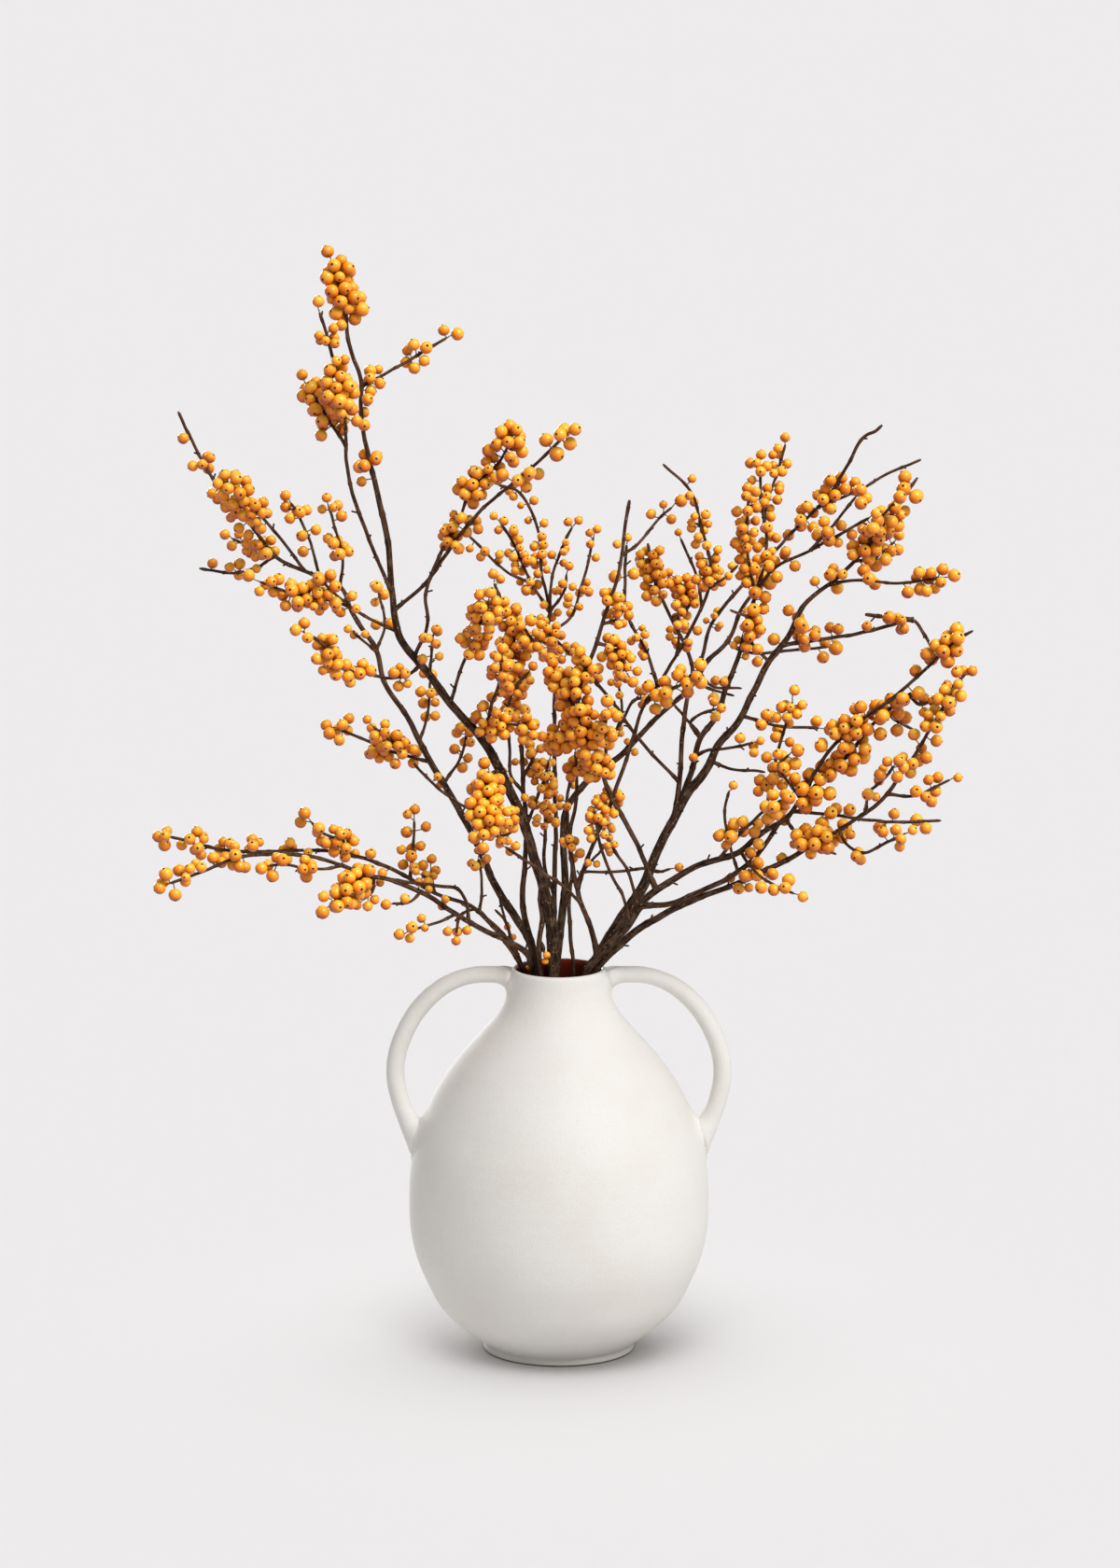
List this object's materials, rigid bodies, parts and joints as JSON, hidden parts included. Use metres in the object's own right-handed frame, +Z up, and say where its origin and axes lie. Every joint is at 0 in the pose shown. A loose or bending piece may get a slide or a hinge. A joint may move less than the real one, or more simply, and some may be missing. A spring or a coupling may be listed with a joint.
{
  "type": "holly berry branch in jug",
  "caption": "Cut winterberry holly branches with golden berries and no leaves, fanned out wide and standing in a round-bellied two-handled ceramic jug.",
  "frame": {"origin": "centre of the jug's flat foot, where it stands", "axes": "+Z up, +X through the jug's handle on the viewer's right, -Y towards the viewer"},
  "size_m": [0.5341, 0.2736, 0.7552],
  "materials": {
    "jug": "matte off-white glaze with a fine grain, dark red-brown glaze inside the neck",
    "bark": "dark grey-brown bark with small knobs and spurs",
    "berries": "smooth golden-orange berry skin with a soft gloss and a dark dot at the blossom end"
  },
  "bodies": {
    "root": {"jug": "jug", "spray_left_low": "bark", "spray_left_high": "bark", "stem_left_arc": "bark", "stem_tall": "bark", "stem_grey": "bark", "stem_middle": "bark", "stem_back": "bark", "stem_right": "bark", "stem_front": "bark", "stem_low_right": "bark", "stem_thin": "bark"}
  },
  "joints": []
}
